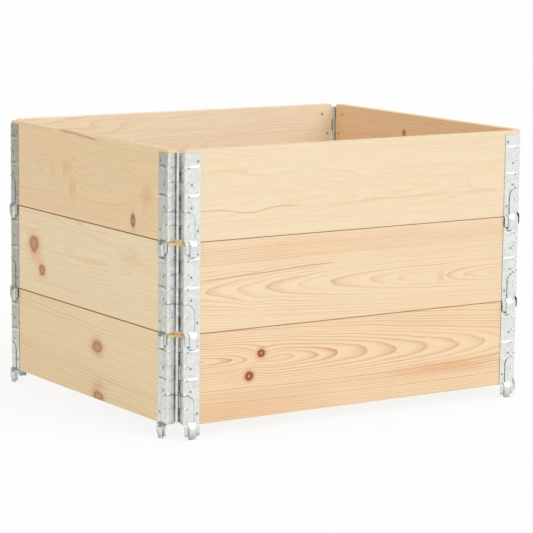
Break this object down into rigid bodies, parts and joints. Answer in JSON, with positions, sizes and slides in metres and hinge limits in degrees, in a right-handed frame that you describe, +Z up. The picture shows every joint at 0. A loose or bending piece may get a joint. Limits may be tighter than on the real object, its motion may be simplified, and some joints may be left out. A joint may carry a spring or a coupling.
{
  "type": "pallet collar",
  "caption": "Stack of wooden pallet collars: planed pine boards joined at the corners by riveted steel barrel hinges, folding flat, with tabs that lap over the collar below.",
  "frame": {"origin": "centre of the stack's plan, at the level of the lowest tabs' ends", "axes": "+X along the long boards, +Y from the front board to the back board, +Z up"},
  "size_m": [0.9788, 0.7988, 0.63],
  "materials": {
    "pine": "planed, untreated",
    "zinc_sheet": "galvanised pressed sheet",
    "zinc_pin": "zinc plated",
    "rivet_steel": "dull zinc"
  },
  "bodies": {
    "bottom_front": {"bottom_front_board": "pine", "bottom_front_leaf_to_left": "zinc_sheet", "bottom_front_leaf_to_right": "zinc_sheet", "bottom_front_left_pin": "zinc_pin", "bottom_front_rivets": "rivet_steel"},
    "bottom_right": {"bottom_right_board": "pine", "bottom_right_leaf_to_front": "zinc_sheet", "bottom_right_leaf_to_back": "zinc_sheet", "bottom_front_right_pin": "zinc_pin", "bottom_right_rivets": "rivet_steel"},
    "bottom_back": {"bottom_back_board": "pine", "bottom_back_leaf_to_right": "zinc_sheet", "bottom_back_leaf_to_left": "zinc_sheet", "bottom_back_right_pin": "zinc_pin", "bottom_back_rivets": "rivet_steel"},
    "bottom_left": {"bottom_left_board": "pine", "bottom_left_leaf_to_back": "zinc_sheet", "bottom_left_leaf_to_front": "zinc_sheet", "bottom_back_left_pin": "zinc_pin", "bottom_left_rivets": "rivet_steel"},
    "middle_front": {"middle_front_board": "pine", "middle_front_leaf_to_left": "zinc_sheet", "middle_front_leaf_to_right": "zinc_sheet", "middle_front_left_pin": "zinc_pin", "middle_front_rivets": "rivet_steel"},
    "middle_right": {"middle_right_board": "pine", "middle_right_leaf_to_front": "zinc_sheet", "middle_right_leaf_to_back": "zinc_sheet", "middle_front_right_pin": "zinc_pin", "middle_right_rivets": "rivet_steel"},
    "middle_back": {"middle_back_board": "pine", "middle_back_leaf_to_right": "zinc_sheet", "middle_back_leaf_to_left": "zinc_sheet", "middle_back_right_pin": "zinc_pin", "middle_back_rivets": "rivet_steel"},
    "middle_left": {"middle_left_board": "pine", "middle_left_leaf_to_back": "zinc_sheet", "middle_left_leaf_to_front": "zinc_sheet", "middle_back_left_pin": "zinc_pin", "middle_left_rivets": "rivet_steel"},
    "top_front": {"top_front_board": "pine", "top_front_leaf_to_left": "zinc_sheet", "top_front_leaf_to_right": "zinc_sheet", "top_front_left_pin": "zinc_pin", "top_front_rivets": "rivet_steel"},
    "top_right": {"top_right_board": "pine", "top_right_leaf_to_front": "zinc_sheet", "top_right_leaf_to_back": "zinc_sheet", "top_front_right_pin": "zinc_pin", "top_right_rivets": "rivet_steel"},
    "top_back": {"top_back_board": "pine", "top_back_leaf_to_right": "zinc_sheet", "top_back_leaf_to_left": "zinc_sheet", "top_back_right_pin": "zinc_pin", "top_back_rivets": "rivet_steel"},
    "top_left": {"top_left_board": "pine", "top_left_leaf_to_back": "zinc_sheet", "top_left_leaf_to_front": "zinc_sheet", "top_back_left_pin": "zinc_pin", "top_left_rivets": "rivet_steel"}
  },
  "joints": [
    {"name": "fold", "type": "hinge", "parent": "bottom_front", "child": "bottom_left", "pos_m": [-0.4585, -0.3685, 0.13], "axis": [0, 0, 1], "range_deg": [-89.5, 89.5]},
    {"name": "bottom_right_hinge", "type": "hinge", "parent": "bottom_front", "child": "bottom_right", "pos_m": [0.4585, -0.3685, 0.13], "axis": [0, 0, 1], "range_deg": [-89.5, 89.5]},
    {"name": "bottom_back_hinge", "type": "hinge", "parent": "bottom_left", "child": "bottom_back", "pos_m": [-0.4585, 0.3685, 0.13], "axis": [0, 0, 1], "range_deg": [-89.5, 89.5]},
    {"name": "middle_lift", "type": "slide", "parent": "bottom_front", "child": "middle_front", "axis": [0, 0, 1], "range_m": [0, 0.25]},
    {"name": "middle_left_hinge", "type": "hinge", "parent": "middle_front", "child": "middle_left", "pos_m": [-0.4585, -0.3685, 0.33], "axis": [0, 0, 1], "range_deg": [-89.5, 89.5]},
    {"name": "middle_right_hinge", "type": "hinge", "parent": "middle_front", "child": "middle_right", "pos_m": [0.4585, -0.3685, 0.33], "axis": [0, 0, 1], "range_deg": [-89.5, 89.5]},
    {"name": "middle_back_hinge", "type": "hinge", "parent": "middle_left", "child": "middle_back", "pos_m": [-0.4585, 0.3685, 0.33], "axis": [0, 0, 1], "range_deg": [-89.5, 89.5]},
    {"name": "top_lift", "type": "slide", "parent": "middle_front", "child": "top_front", "axis": [0, 0, 1], "range_m": [0, 0.25]},
    {"name": "top_left_hinge", "type": "hinge", "parent": "top_front", "child": "top_left", "pos_m": [-0.4585, -0.3685, 0.53], "axis": [0, 0, 1], "range_deg": [-89.5, 89.5]},
    {"name": "top_right_hinge", "type": "hinge", "parent": "top_front", "child": "top_right", "pos_m": [0.4585, -0.3685, 0.53], "axis": [0, 0, 1], "range_deg": [-89.5, 89.5]},
    {"name": "top_back_hinge", "type": "hinge", "parent": "top_left", "child": "top_back", "pos_m": [-0.4585, 0.3685, 0.53], "axis": [0, 0, 1], "range_deg": [-89.5, 89.5]}
  ],
  "couplings": [
    {"joint": "bottom_right_hinge", "follows": "fold", "ratio": 1},
    {"joint": "bottom_back_hinge", "follows": "fold", "ratio": -1},
    {"joint": "middle_left_hinge", "follows": "fold", "ratio": 1},
    {"joint": "middle_right_hinge", "follows": "fold", "ratio": 1},
    {"joint": "middle_back_hinge", "follows": "fold", "ratio": -1},
    {"joint": "top_left_hinge", "follows": "fold", "ratio": 1},
    {"joint": "top_right_hinge", "follows": "fold", "ratio": 1},
    {"joint": "top_back_hinge", "follows": "fold", "ratio": -1}
  ]
}
